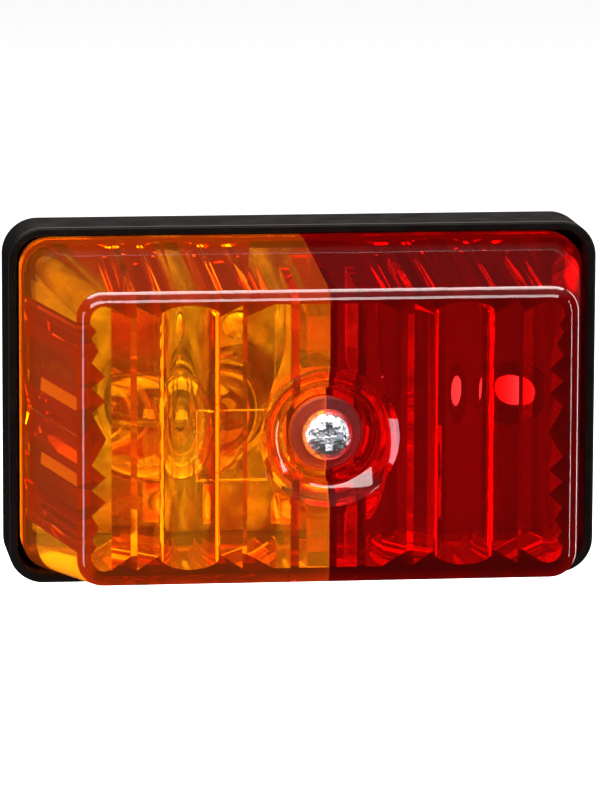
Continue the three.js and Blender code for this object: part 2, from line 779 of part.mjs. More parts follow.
// A flange of the red half that laps behind the amber walls, from the partition outwards.
function lapFlange() {
  const hollow = (inset, rear) => {
    const layer = (depth) => {
      const { width, height } = lensSizeAt(depth);
      return { depth, points: roundedRectangle(width - 2 * inset, height - 2 * inset, 1) };
    };
    return loft([layer(rear), layer(LENS_DEPTH - inset)]);
  };
  const inset = LENS_WALL + LAP_GAP;
  const walls = cut(
    hollow(inset, PARTITION_REAR),
    hollow(inset + LAP_THICKNESS, PARTITION_REAR - 1),
  );
  const right = PARTITION_THICKNESS / 2;
  const strip = box(LAP_WIDTH + right, 60, 0, 60, (right - LAP_WIDTH) / 2);
  return cut(keep(walls, strip), rod(LAP_CLEARANCE, 0, 60));
}

const shell = lensShell();
const halfLens = (side) => {
  const span = 60;
  return keep(shell, box(span, 80, 0, 60, side * (GAP / 2 + span / 2)));
};
place(lens, "amber_lens", halfLens(-1), AMBER_ACRYLIC);
place(lens, "red_lens", join(halfLens(1), lapFlange()), RED_ACRYLIC);

// ---- lens screw -----------------------------------------------------------------------

function lensScrew() {
  const front = SCREW_UNDER_HEAD + SCREW_HEAD_HEIGHT;
  const body = turned([
    [0, SCREW_TIP],
    [SCREW_RADIUS - 0.7, SCREW_TIP],
    [SCREW_RADIUS, SCREW_TIP + 0.9],
    [SCREW_RADIUS, SCREW_UNDER_HEAD],
    [SCREW_HEAD_RADIUS, SCREW_UNDER_HEAD],
    [SCREW_HEAD_RADIUS, front - 1.4],
    [SCREW_HEAD_RADIUS - 0.5, front - 0.6],
    [SCREW_HEAD_RADIUS - 1.5, front - 0.1],
    [0, front],
  ]);
  const across = 4.6;
  const arm = 1.1;
  return cut(
    body,
    box(across, arm, front - 1.7, front + 1),
    box(arm, across, front - 1.7, front + 1),
  );
}

const sealRing = tube(2.3, 4.0, SEAT_FRONT + GAP, SCREW_UNDER_HEAD - GAP);
place(lens, "screw_seal_ring", sealRing, RUBBER);
place(lens, "lens_screw", lensScrew(), ZINC);

lamp.rotation.x = Math.PI / 2;

export default lamp;
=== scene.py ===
# %% [markdown]
# # A two-colour trailer lamp
# The lamp is a box-shaped acrylic lens, amber on its left half and red on its right,
# held by one screw on a black base that sits in a soft black boot. The CAD model gives
# every piece its place. These cells give the lamp its looks: smooth rounded shells,
# clear coloured plastic over bright metal, and soft studio light.

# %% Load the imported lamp
from math import cos, log, pi, radians, sin, tau

import bmesh
import bpy
from mathutils import Matrix, Vector


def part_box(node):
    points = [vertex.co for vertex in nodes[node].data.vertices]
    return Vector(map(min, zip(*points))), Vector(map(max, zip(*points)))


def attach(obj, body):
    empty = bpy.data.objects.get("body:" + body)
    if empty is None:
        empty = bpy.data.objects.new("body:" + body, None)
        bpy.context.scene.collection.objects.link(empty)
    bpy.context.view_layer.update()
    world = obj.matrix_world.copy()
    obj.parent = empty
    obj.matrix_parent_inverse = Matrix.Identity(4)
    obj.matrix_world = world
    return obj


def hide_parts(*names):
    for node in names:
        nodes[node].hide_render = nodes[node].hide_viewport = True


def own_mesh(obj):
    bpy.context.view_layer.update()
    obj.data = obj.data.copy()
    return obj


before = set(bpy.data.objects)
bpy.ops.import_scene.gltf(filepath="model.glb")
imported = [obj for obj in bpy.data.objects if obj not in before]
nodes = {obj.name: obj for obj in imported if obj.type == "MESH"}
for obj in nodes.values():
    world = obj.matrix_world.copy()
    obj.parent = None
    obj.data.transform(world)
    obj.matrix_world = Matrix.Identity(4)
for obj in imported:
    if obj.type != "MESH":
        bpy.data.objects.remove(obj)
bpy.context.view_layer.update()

# %% [markdown]
# ## Working in millimetres
# The lamp is drawn as it is seen from the front: x to the right, z up, and a depth that
# says how far a point stands out of the mounting surface. The frame's -Y is out of the
# face, so a depth becomes -y. Shapes are made in millimetres and shrunk to metres once,
# when a piece is finished.

# %% Helpers for places and sizes
def at(x, z, depth):
    """A point in millimetres: x to the right, z up, depth out of the mounting surface."""
    return Vector((x, -depth, z))


def span_of(node):
    """A CAD node's box in millimetres: (low x, high x), (low z, high z), (rear, front)."""
    low, high = (corner * 1000 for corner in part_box(node))
    return (low.x, high.x), (low.z, high.z), (-high.y, -low.y)


def middle_of(node):
    """Where a CAD node's box has its middle, seen from the front."""
    (left, right), (low, high), _ = span_of(node)
    return (left + right) / 2, (low + high) / 2


boot_x, boot_z, boot_depth = span_of("rubber_boot")
amber_x, lens_z, lens_depth = span_of("amber_lens")
print("boot", boot_x, boot_z, boot_depth)
print("amber half", amber_x, lens_z, lens_depth)

# %% [markdown]
# ## Camera
# The lamp is looked at from a little above and to the left with a long lens, so its far
# edges hardly converge and both the top and the left wall show. Depth of field is off.

# %% Make the camera
VIEW_AZIMUTH = radians(-7.0)
VIEW_ELEVATION = radians(9.3)
VIEW_ROLL = radians(0.2)
VIEW_DISTANCE = 0.991
VIEW_CENTRE = (1.2, -1.9)  # mm right and up of the mounting face's centre
LENS_MM = 260

back = Vector((sin(VIEW_AZIMUTH) * cos(VIEW_ELEVATION),
               -cos(VIEW_AZIMUTH) * cos(VIEW_ELEVATION),
               sin(VIEW_ELEVATION)))
right = Vector((cos(VIEW_AZIMUTH), sin(VIEW_AZIMUTH), 0))
up = back.cross(right)
target = (right * VIEW_CENTRE[0] + up * VIEW_CENTRE[1]) / 1000
camera_data = bpy.data.cameras.new("camera")
camera_data.lens = LENS_MM
camera_data.dof.use_dof = False
camera = bpy.data.objects.new("camera", camera_data)
turn = Matrix((right, up, back)).transposed().to_4x4()
camera.matrix_world = (
    Matrix.Translation(target + back * VIEW_DISTANCE)
    @ turn
    @ Matrix.Rotation(VIEW_ROLL, 4, "Z")
)
scene = bpy.context.scene
scene.collection.objects.link(camera)
scene.camera = camera
print("camera", [round(c, 3) for c in camera.matrix_world.translation])

# %% [markdown]
# ## Colours and nodes
# Colours are picked as sRGB hex values, as a paint chart gives them. Shaders want linear
# light, so one function does the conversion. Another adds a node with its settings.

# %% Colour helper and node helper
def linear(hex_code):
    """sRGB hex, such as '#D08020', as a linear RGBA colour."""
    channels = [int(hex_code[i:i + 2], 16) / 255 for i in (1, 3, 5)]
    return (*[c / 12.92 if c <= 0.04045 else ((c + 0.055) / 1.055) ** 2.4 for c in channels], 1)


def add_node(tree, kind, settings=None, **links):
    """Adds a node. Settings are its sockets or properties, links are sockets to feed.

    A link is named after its socket, or _0, _1 and so on for a socket by its number.
    """
    node = tree.nodes.new(kind)
    for name, value in (settings or {}).items():
        if name in node.inputs:
            node.inputs[name].default_value = value
        else:
            setattr(node, name, value)
    for name, source in links.items():
        key = int(name[1:]) if name[1:].isdigit() else name.replace("_", " ")
        socket = node.inputs[key]
        tree.links.new(source, socket)
    return node


def per_metre(size_mm):
    """The texture scale at which one feature measures size_mm."""
    return 1000 / size_mm


# %% [markdown]
# ## Studio
# Clear coloured plastic shows whatever is behind it and whatever it mirrors. Light that
# comes from behind makes its walls glow, but a bright room mirrored in them would lay a
# grey veil over the deep red. So the room is bright where it is seen straight, about half
# as bright through the plastic and dark where it is mirrored. Two long softboxes draw the
# two highlight lines along the rounded front edge. The plastic passes light on from wall
# to wall, so the rays need many bounces.

# %% Light, floor and surround
scene.view_settings.view_transform = "Standard"
scene.cycles.max_bounces = 24
scene.cycles.transmission_bounces = 20
scene.cycles.transparent_max_bounces = 24
scene.cycles.caustics_refractive = False


def soft_lamp(name, place, size, watts, colour="#FFFFFF"):
    """A rectangular softbox that looks at the lamp."""
    data = bpy.data.lights.new(name, "AREA")
    data.shape = "RECTANGLE"
    data.size, data.size_y = size
    data.energy = watts
    data.color = linear(colour)[:3]
    softbox = bpy.data.objects.new(name, data)
    aim = (-Vector(place)).to_track_quat("-Z", "Y").to_matrix().to_4x4()
    softbox.matrix_world = Matrix.Translation(place) @ aim
    scene.collection.objects.link(softbox)


soft_lamp("rear_top_softbox", (0.0, 0.45, 0.90), (1.4, 0.80), 30, "#FFF4F2")
soft_lamp("front_top_softbox", (-0.15, -0.98, 0.70), (1.4, 0.45), 23, "#FFF4F2")
soft_lamp("right_front_strip", (1.05, -0.70, 0.0), (0.14, 1.0), 5)
soft_lamp("right_rear_strip", (0.75, 0.85, 0.0), (0.40, 1.0), 4)
soft_lamp("left_front_strip", (-1.10, -0.50, -0.1), (0.30, 0.9), 6, "#F2EEFF")

world = bpy.data.worlds.new("studio")
world.use_nodes = True
scene.world = world
tree = world.node_tree
tree.nodes.clear()
ray = add_node(tree, "ShaderNodeLightPath").outputs
axes = add_node(tree, "ShaderNodeSeparateXYZ",
                Vector=add_node(tree, "ShaderNodeTexCoord").outputs["Generated"])
mirrored = add_node(tree, "ShaderNodeMapRange",
                    {"From Min": 0.45, "From Max": 1.0, "To Min": 0.015, "To Max": 0.35},
                    Value=axes.outputs["Z"])
not_mirrored = add_node(tree, "ShaderNodeMix", {"A": 0.55},
                        Factor=ray["Is Glossy Ray"], B=mirrored.outputs["Result"])
strength = add_node(tree, "ShaderNodeMix", {"B": 1.0},
                    Factor=ray["Is Camera Ray"], A=not_mirrored.outputs["Result"])
backdrop = add_node(tree, "ShaderNodeBackground", {"Color": (1, 1, 1, 1)},
                    Strength=strength.outputs["Result"])
add_node(tree, "ShaderNodeOutputWorld", Surface=backdrop.outputs["Background"])

FLOOR_HEIGHT = -0.16
floor_mesh = bmesh.new()
bmesh.ops.create_grid(floor_mesh, x_segments=1, y_segments=1, size=5,
                      matrix=Matrix.Translation((0, 0, FLOOR_HEIGHT)))
floor_data = bpy.data.meshes.new("floor")
floor_mesh.to_mesh(floor_data)
floor_mesh.free()
floor = bpy.data.objects.new("floor", floor_data)
floor.visible_glossy = False
scene.collection.objects.link(floor)

# %% [markdown]
# ## Floor paint
# A matt white floor that glows a little, like a light table, so that it stays even from
# the front to the back.

# %% Floor paint
def new_material(name, settings):
    """A material with a Principled shader, and its tree, shader and object coordinates."""
    material = bpy.data.materials.new(name)
    material.use_nodes = True
    tree = material.node_tree
    shader = tree.nodes["Principled BSDF"]
    for socket, value in settings.items():
        shader.inputs[socket].default_value = value
    coords = add_node(tree, "ShaderNodeTexCoord").outputs["Object"]
    return material, tree, shader, coords


floor_paint, *_ = new_material("matt_white_floor_paint", {
    "Base Color": linear("#F2F2F2"), "Roughness": 0.9,
    "Emission Color": (1, 1, 1, 1), "Emission Strength": 0.45})
floor_paint.cycles.emission_sampling = "NONE"
floor_data.materials.append(floor_paint)

# %% [markdown]
# ## Acrylic
# The lens is injection-moulded acrylic (PMMA), dyed right through: a polished mould
# leaves it as glossy as glass, and its refractive index is 1.49. The dye is in the
# plastic and not on it, so a longer way through gives a deeper colour: amber turns to
# orange-red along the walls. That is volume absorption, and its density comes from the
# colour that one wall gives to white light. A faint orange or red emission is painted
# into the plastic as well: painted light, so that even the thick edges never go black.
# The seat under the screw is left unpolished in the mould, which makes it look frosted.
# The studio lamps reach the inside only if their rays can pass the surface, so it is
# plain transparent to them, and the volume still tints them.

# %% Amber and red acrylic
WALL = 2.5
SEAT = 45.2  # depth of the seat under the screw head
FROST_EDGE = 6.1, 6.3  # mm from the seat's middle over which the frosting fades out


def let_lamps_through(tree, shader):
    """Makes a clear surface transparent to the rays that come from lamps."""
    mix = add_node(tree, "ShaderNodeMixShader",
                   Fac=add_node(tree, "ShaderNodeLightPath").outputs["Is Shadow Ray"],
                   _1=shader.outputs["BSDF"],
                   _2=add_node(tree, "ShaderNodeBsdfTransparent").outputs["BSDF"])
    tree.links.new(mix.outputs["Shader"], tree.nodes["Material Output"].inputs["Surface"])


def dyed_acrylic(name, wall_colour, surface_tint, painted_glow_colour, painted_glow_strength):
    """Clear moulded acrylic with a painted glow. wall_colour is what one wall makes of white light.
    """
    # The emission is painted light: an even glow in the dye's colour over the whole plastic.
    material, tree, shader, coords = new_material(name, {
        "Base Color": linear(surface_tint), "IOR": 1.49, "Transmission Weight": 1.0,
        "Emission Color": linear(painted_glow_colour), "Emission Strength": painted_glow_strength})
    material.cycles.emission_sampling = "NONE"
    loss = [-log(share) / (WALL / 1000) for share in linear(wall_colour)[:3]]
    density = max(loss)
    volume = add_node(tree, "ShaderNodeVolumeAbsorption", {
        "Color": (*[1 - one / density for one in loss], 1), "Density": density})
    tree.links.new(volume.outputs["Volume"], tree.nodes["Material Output"].inputs["Volume"])
    # Moulded faces are never quite flat: a long, shallow ripple bends what they mirror.
    ripple = add_node(tree, "ShaderNodeTexNoise", {"Scale": per_metre(12), "Detail": 1.0},
                      Vector=coords)
    # Handling leaves a faint haze, drawn coarser than the real rub marks so that it shows.
    rubbed = add_node(tree, "ShaderNodeTexNoise", {"Scale": per_metre(4), "Detail": 2.0},
                      Vector=coords)
    polished = add_node(tree, "ShaderNodeMapRange", {"From Min": 0.35, "From Max": 0.75,
                                                     "To Min": 0.02, "To Max": 0.06},
                        Value=rubbed.outputs["Fac"])
    from_seat = add_node(tree, "ShaderNodeVectorMath", {"operation": "DISTANCE"}, _0=coords)
    from_seat.inputs[1].default_value = (0, -SEAT / 1000, 0)
    frosted = add_node(tree, "ShaderNodeMapRange",
                       {"From Min": FROST_EDGE[0] / 1000, "From Max": FROST_EDGE[1] / 1000,
                        "To Min": 0.45, "To Max": 0.0},
                       Value=from_seat.outputs["Value"])
    rough = add_node(tree, "ShaderNodeMath", {"operation": "MAXIMUM"},
                     _0=polished.outputs["Result"], _1=frosted.outputs["Result"])
    tree.links.new(rough.outputs["Value"], shader.inputs["Roughness"])
    bump = add_node(tree, "ShaderNodeBump", {"Strength": 0.08, "Distance": 0.0004},
                    Height=ripple.outputs["Fac"])
    tree.links.new(bump.outputs["Normal"], shader.inputs["Normal"])
    let_lamps_through(tree, shader)
    print(name, "density", round(density))
    return material


# The last two values are the painted glow's colour and strength: painted light, not a lamp.
amber_acrylic = dyed_acrylic("amber_moulded_acrylic", "#F9D44C", "#FFFAF0", "#FF7420", 0.09)
red_acrylic = dyed_acrylic("red_moulded_acrylic", "#EE3638", "#FFF0F0", "#FF1818", 0.055)

# %% [markdown]
# ## Glass
# The globe is blown soda-lime glass, index 1.52, clear and smooth. Lamps shine through
# it as they do through the acrylic.

# %% Globe glass
globe_glass, tree, shader, coords = new_material("blown_soda_lime_glass", {
    "Base Color": (1, 1, 1, 1), "Roughness": 0.0, "IOR": 1.52, "Transmission Weight": 1.0})
streaks = add_node(tree, "ShaderNodeTexNoise", {"Scale": per_metre(7), "Detail": 1.0},
                   Vector=coords)
bump = add_node(tree, "ShaderNodeBump", {"Strength": 0.08, "Distance": 0.0003},
                Height=streaks.outputs["Fac"])
tree.links.new(bump.outputs["Normal"], shader.inputs["Normal"])
let_lamps_through(tree, shader)

# %% [markdown]
# ## Rubber, plastics and metals
# The boot is moulded soft rubber: near black, satin, with a skin that waves a little
# where it cooled unevenly. The base is black ABS with a spark-eroded grain. The plate,
# screw, shell and rivets are zinc-plated steel, whose bright plating is faintly mottled.
# Brass, phenolic board, glass and solder complete the parts behind the lens. All share
# one recipe: a fine grain in the bump, and slow changes of shade and roughness.

# %% Opaque materials
PATCH_GRAINS = 9  # a patch of one shade is this many grains wide


def grained(name, settings, grain_mm, depth_mm, shades, rough, wave_mm=10, wave_depth_mm=0.0):
    """A moulded, turned or plated surface. shades and rough are its two extremes.

    grain_mm and depth_mm are the size and height of its grain, wave_mm and wave_depth_mm
    those of a slow waviness.
    """
    material, tree, shader, coords = new_material(name, settings)
    wave = add_node(tree, "ShaderNodeTexNoise", {"Scale": per_metre(wave_mm), "Detail": 1.0},
                    Vector=coords)
    slow = add_node(tree, "ShaderNodeBump", {"Strength": 1.0, "Distance": wave_depth_mm / 1000},
                    Height=wave.outputs["Fac"])
    grain = add_node(tree, "ShaderNodeTexNoise", {"Scale": per_metre(grain_mm), "Detail": 3.0},
                     Vector=coords)
    bump = add_node(tree, "ShaderNodeBump", {"Strength": 1.0, "Distance": depth_mm / 1000},
                    Height=grain.outputs["Fac"], Normal=slow.outputs["Normal"])
    tree.links.new(bump.outputs["Normal"], shader.inputs["Normal"])
    patches = add_node(tree, "ShaderNodeTexNoise",
                       {"Scale": per_metre(grain_mm * PATCH_GRAINS), "Detail": 4.0}, Vector=coords)
    ramp = add_node(tree, "ShaderNodeValToRGB", Fac=patches.outputs["Fac"])
    for element, position, shade in zip(ramp.color_ramp.elements, (0.35, 0.65), shades):
        element.position = position
        element.color = linear(shade)
    tree.links.new(ramp.outputs["Color"], shader.inputs["Base Color"])
    spread = add_node(tree, "ShaderNodeMapRange", {"From Min": 0.3, "From Max": 0.7,
                                                   "To Min": rough[0], "To Max": rough[1]},
                      Value=patches.outputs["Fac"])
    tree.links.new(spread.outputs["Result"], shader.inputs["Roughness"])
    return material


METAL = {"Metallic": 1.0}
boot_rubber = grained("moulded_epdm_rubber", {"IOR": 1.5, "Specular IOR Level": 0.08},
                      0.35, 0.004, ("#080706", "#0B0A09"), (0.3, 0.42), 11, 0.06)
black_abs = grained("spark_eroded_black_abs", {"IOR": 1.53}, 0.3, 0.006,
                    ("#141311", "#1B1A17"), (0.42, 0.55))
zinc_plate = grained("zinc_plated_sheet_steel", METAL, 0.6, 0.004,
                     ("#6A6D6E", "#B8BBBC"), (0.14, 0.3), 8, 0.45)
zinc_screw = grained("bright_zinc_plated_screw_steel", METAL, 1.0, 0.35,
                     ("#CDD3DA", "#F8FAFC"), (0.24, 0.4))
brass = grained("turned_brass", METAL, 0.3, 0.002, ("#B8933F", "#D2B062"), (0.2, 0.32))
phenolic = grained("laminated_phenolic_board", {"IOR": 1.6}, 0.25, 0.004,
                   ("#3E2214", "#55301C"), (0.4, 0.55))
spring_wire = grained("drawn_spring_wire", METAL, 0.2, 0.001,
                      ("#84878A", "#A6A8AA"), (0.2, 0.3))
foam = grained("closed_cell_foam_rubber", {"IOR": 1.5}, 0.5, 0.03,
               ("#191919", "#262626"), (0.75, 0.9))
vitrite = grained("black_vitrite_glass", {"IOR": 1.52}, 0.6, 0.002,
                  ("#0C0C10", "#15151A"), (0.08, 0.16))
solder = grained("soft_solder", METAL, 0.4, 0.01, ("#A9ABAC", "#C3C5C6"), (0.3, 0.5))
tungsten = grained("drawn_nickel_and_tungsten_wire", METAL, 0.2, 0.001,
                   ("#6E6E70", "#9A9A9C"), (0.3, 0.4))
print("materials:", len(bpy.data.materials))

# %% [markdown]
# ## Finishing a piece
# Every piece ends the same way: its doubles are merged, its faces turned outwards, its
# sharp edges marked, its size brought to metres, and it is tied to the CAD body that it
# moves with. Big flat faces beside small rounds shade badly unless the flats decide the
# normals, so a Weighted Normal modifier comes last.

# %% Finish a piece
def clean(bm):
    bmesh.ops.remove_doubles(bm, verts=bm.verts, dist=0.0005)
    bmesh.ops.recalc_face_normals(bm, faces=bm.faces)
    return bm


def finish_piece(node, bm, material, body, sharp_degrees=32):
    """Makes a mesh object of bm and ties it to its body, CAD node and material slot."""
    clean(bm)
    for face in bm.faces:
        face.smooth = True
    for edge in bm.edges:
        edge.smooth = edge.is_manifold and edge.calc_face_angle(pi) < radians(sharp_degrees)
    bmesh.ops.scale(bm, vec=(0.001, 0.001, 0.001), verts=bm.verts)
    open_edges = sum(not edge.is_manifold for edge in bm.edges)
    mesh = bpy.data.meshes.new("fine_" + node)
    bm.to_mesh(mesh)
    bm.free()
    mesh.materials.append(material)
    piece = bpy.data.objects.new("fine_" + node, mesh)
    scene.collection.objects.link(piece)
    weights = piece.modifiers.new("flat_faces_lead", "WEIGHTED_NORMAL")
    weights.keep_sharp = True
    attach(piece, body)
    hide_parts(node)
    print(node, len(mesh.polygons), "faces,", open_edges, "open edges")
    return piece


# %% [markdown]
# ## Basic shapes
# Most pieces of a lamp are turned or punched, so three shapes make nearly all of them:
# a profile spun round an axis, a block, and a block with rounded corners. Booleans join
# and cut them, as welding and drilling do.

# %% Shape helpers
def turned(profile, x=0, z=0, steps=64):
    """A turned solid from [radius, depth] points that start and end on its axis."""
    bm = bmesh.new()
    points = [bm.verts.new(at(x + radius, z, depth)) for radius, depth in profile]
    edges = [bm.edges.new(pair) for pair in zip(points, points[1:])]
    bmesh.ops.spin(bm, geom=points + edges, cent=at(x, z, 0), axis=(0, 1, 0), angle=tau,
                   steps=steps, use_merge=True)
    return clean(bm)


def rod(radius, rear, front, x=0, z=0, steps=48):
    return turned([(0, rear), (radius, rear), (radius, front), (0, front)], x, z, steps)


def ring(inner, outer, rear, front, x=0, z=0, ease=0.1):
    """A washer or sleeve with its edges eased."""
    return turned([(inner, rear + ease), (inner + ease, rear), (outer - ease, rear),
                   (outer, rear + ease), (outer, front - ease), (outer - ease, front),
                   (inner + ease, front), (inner, front - ease), (inner, rear + ease)], x, z)


def block(width, height, rear, front, x=0, z=0):
    bm = bmesh.new()
    size = Matrix.Diagonal((width, front - rear, height, 1))
    middle = Matrix.Translation(at(x, z, (rear + front) / 2))
    bmesh.ops.create_cube(bm, size=1, matrix=middle @ size)
    return bm


def round_edges(bm, edges, offset, segments):
    bmesh.ops.bevel(bm, geom=edges, offset=offset, offset_type="OFFSET", affect="EDGES",
                    segments=segments, profile=0.5, material=-1)
    return bm


def rounded_block(width, height, rear, front, corner, segments=10, x=0, z=0):
    """A block whose four edges along the depth are rounded."""
    bm = block(width, height, rear, front, x, z)
    along = [edge for edge in bm.edges if abs(edge.verts[0].co.y - edge.verts[1].co.y) > 0.01]
    return round_edges(bm, along, corner, segments)


def ease_edges(bm, offset, segments=3, sharper_than=40):
    """Rounds every edge that is sharper than an angle, as moulding and plating do."""
    clean(bm)
    sharp = [edge for edge in bm.edges
             if edge.is_manifold and edge.calc_face_angle() > radians(sharper_than)]
    return round_edges(bm, sharp, offset, segments)


def combine(operation, first, *others):
    """Joins, cuts or intersects closed shapes, and returns the result."""
    for other in others:
        pieces = []
        for bm in (first, other):
            mesh = bpy.data.meshes.new("working")
            bm.to_mesh(mesh)
            bm.free()
            piece = bpy.data.objects.new("working", mesh)
            scene.collection.objects.link(piece)
            pieces.append(piece)
        step = pieces[0].modifiers.new("combine", "BOOLEAN")
        step.operation = operation
        step.solver = "EXACT"
        step.object = pieces[1]
        first = bmesh.new()
        first.from_object(pieces[0], bpy.context.evaluated_depsgraph_get())
        for piece in pieces:
            bpy.data.meshes.remove(piece.data)
    return first


def gather(bm, other):
    """Adds a shape to bm as it is, where a boolean would only cost time."""
    mesh = bpy.data.meshes.new("working")
    other.to_mesh(mesh)
    other.free()
    bm.from_mesh(mesh)
    bpy.data.meshes.remove(mesh)
    return bm


# %% [markdown]
# ## The lens, outside
# One block gives the outside: straight inside the boot, then tapering to the front, with
# a small round where the front meets the walls. Extruding the front face, scaling it and
# bevelling its edge is how a box-shaped moulding is usually drawn.

# %% Outside of the lens
RIM = boot_depth[1]
LENS_REAR, LENS_FRONT = lens_depth
REAR_WIDTH = -2 * amber_x[0]
REAR_HEIGHT = lens_z[1] - lens_z[0]
FRONT_WIDTH = 81.8
FRONT_HEIGHT = 48.1
EDGE_ROUND = 2.0
TOUCH = 0.001  # mm within which a point lies at a depth


def faces_at(bm, depth):
    return [face for face in bm.faces
            if all(abs(vert.co.y + depth) < TOUCH for vert in face.verts)]


def moved_verts(result):
    return [part for part in result["geom"] if isinstance(part, bmesh.types.BMVert)]


def lens_outside():
    bm = rounded_block(REAR_WIDTH, REAR_HEIGHT, LENS_REAR, RIM, 5, segments=12)
    front = faces_at(bm, RIM)
    verts = moved_verts(bmesh.ops.extrude_face_region(bm, geom=front))
    bmesh.ops.delete(bm, geom=front, context="FACES_ONLY")
    taper = FRONT_WIDTH / REAR_WIDTH, 1, FRONT_HEIGHT / REAR_HEIGHT
    bmesh.ops.scale(bm, verts=verts, vec=taper)
    bmesh.ops.translate(bm, verts=verts, vec=(0, RIM - LENS_FRONT, 0))
    front = faces_at(bm, LENS_FRONT)
    return round_edges(bm, [edge for face in front for edge in face.edges], EDGE_ROUND, 10)


# %% [markdown]
# ## The lens, inside
# Ridges inside the lens spread the light. One line describes them from the middle
# outwards: two saw teeth, a wide rounded flute, and two more teeth. The same line runs
# up the front wall and back along the top and bottom walls, and a shorter one along the
# side walls. The hollow is drawn as a solid with those grooves, and cut out of the block.

# %% Ridge lines
RIDGE = 2.4  # height of the tall ridges
HOLLOW_CORNER = 2.4
PAST_WIDTH, PAST_HEIGHT = 50, 40  # half sizes that reach past the lens on every side


def flute(start, end, depth, steps=14):
    """A rounded hollow between two ridge tops: half an ellipse, listed from its start."""
    middle, half = (start + end) / 2, (end - start) / 2
    return [(middle - half * cos(pi * i / steps), depth * (1 - sin(pi * i / steps)))
            for i in range(steps + 1)]


# Each point is its distance from the middle and its height above the wall.
FRONT_LINE = [(8.9, 0), (13.2, RIDGE), (14.1, 0.1), *flute(17.6, 27.6, RIDGE),
              (31.4, 0.1), (32.3, RIDGE), (35.6, 0.2)]
SIDE_LINE = [(0.2, RIDGE), (4.3, 0.1), (6.3, RIDGE), (8.4, 0.1), (10.4, RIDGE), (12.6, 0.1),
             (14.6, 1.3), (16.6, 0.1), (17.8, 0.9), (19.0, 0)]


def ridged_outline(half_width, half_height, steps=8):
    """The hollow's outline, anticlockwise: one quarter, mirrored into four."""
    corner_x, corner_z = half_width - HOLLOW_CORNER, half_height - HOLLOW_CORNER
    quarter = [(half_width - h, z) for z, h in SIDE_LINE]
    quarter += [(corner_x + HOLLOW_CORNER * cos(angle), corner_z + HOLLOW_CORNER * sin(angle))
                for angle in (pi / 2 * i / steps for i in range(steps + 1))]
    quarter += [(x, half_height - h) for x, h in reversed(FRONT_LINE)]
    half = quarter + [(-x, z) for x, z in reversed(quarter)]
    return half + [(-x, -z) for x, z in half]


def outline_loop(bm, points, depth):
    verts = [bm.verts.new(at(x, z, depth)) for x, z in points]
    return [bm.edges.new((verts[i - 1], verts[i])) for i in range(len(verts))]


def size_at(depth):
    """Outside width and height of the lens where it tapers."""
    share = (depth - RIM) / (LENS_FRONT - RIM)
    return (REAR_WIDTH + (FRONT_WIDTH - REAR_WIDTH) * share,
            REAR_HEIGHT + (FRONT_HEIGHT - REAR_HEIGHT) * share)


def front_ridges():
    """What the front wall adds to the hollow's front: its thickness and its ridges."""
    bm = bmesh.new()
    half = [(0, 0), *FRONT_LINE, (PAST_WIDTH, 0)]
    line = [(-x, h) for x, h in reversed(half[1:])] + half
    inner = LENS_FRONT - WALL
    verts = [bm.verts.new(at(x, -PAST_HEIGHT, inner - h)) for x, h in line]
    verts += [bm.verts.new(at(x, -PAST_HEIGHT, LENS_FRONT + 1))
              for x in (PAST_WIDTH, -PAST_WIDTH)]
    side = bm.faces.new(verts)
    verts = moved_verts(bmesh.ops.extrude_face_region(bm, geom=[side]))
    bmesh.ops.translate(bm, verts=verts, vec=(0, 0, 2 * PAST_HEIGHT))
    return clean(bm)


def lens_hollow():
    bm = bmesh.new()
    loops = []
    for depth in (RIM - 1.4, LENS_FRONT - 0.8):
        width, height = size_at(depth)
        outline = ridged_outline(width / 2 - WALL, height / 2 - WALL)
        loops.append(outline_loop(bm, outline, depth))
    bmesh.ops.bridge_loops(bm, edges=loops[0] + loops[1])
    for loop in loops:
        bmesh.ops.contextual_create(bm, geom=loop)
    mouth = rounded_block(REAR_WIDTH - 2 * WALL, REAR_HEIGHT - 2 * WALL,
                          LENS_REAR - 1, RIM - 1.3, 2.5)
    return combine("DIFFERENCE", combine("UNION", clean(bm), mouth), front_ridges())


# %% [markdown]
# ## The lens, middle
# A stepped dish sinks the screw head below the front. A tube carries on behind it to
# the pillar of the base, and two webs brace the tube against the top and bottom walls.
# An upright partition in the red half runs along the seam, and a flange of it laps behind
# the amber walls, where the two halves are welded.

# %% Dish, tube and webs
PILLAR_FRONT = span_of("base_plate")[2][1]
TUBE_RADIUS = 5.9
SCREW_HOLE = 2.5
WEB_OFFSET = 5.5
WEB_REAR = 31
BRACE_HEIGHT = 47  # webs and partition reach a little into the top and bottom walls
BRACE_FRONT = LENS_FRONT - 1.5
PARTITION_REAR = 20
PARTITION_THICKNESS = 1.4  # the webs are as thick
PILLAR_CLEARANCE = 6.6  # radius that the partition leaves free
LAP_WIDTH = 3.4  # the red flange that laps behind the amber walls
LAP_THICKNESS = 2.4  # thicker than it need be, for a deeper red
LAP_GAP = 0.15  # air between the flange and the amber walls
LAP_CLEARANCE = 13.9  # radius that the flange leaves free round the dish


def lens_middle():
    rear = PILLAR_FRONT + 0.3
    tube = [(0, rear), (TUBE_RADIUS, rear), (TUBE_RADIUS, 41.4)]
    cup = [(6.8, 42.2), (9.6, 42.2), (10.1, 43.0), (10.4, 46.0), (11.2, 46.9), (13.6, 47.6),
           (13.6, 49.3), (0, 49.3)]
    dish = turned(tube + cup, steps=96)
    webs = [block(PARTITION_THICKNESS, BRACE_HEIGHT, WEB_REAR, BRACE_FRONT, x=side * WEB_OFFSET)
            for side in (-1, 1)]
    partition = block(PARTITION_THICKNESS, BRACE_HEIGHT, PARTITION_REAR, BRACE_FRONT,
                      x=PARTITION_THICKNESS / 2)
    partition = combine("DIFFERENCE", partition, rod(PILLAR_CLEARANCE, 0, rear))
    return combine("INTERSECT", combine("UNION", dish, *webs, partition), lens_outside())


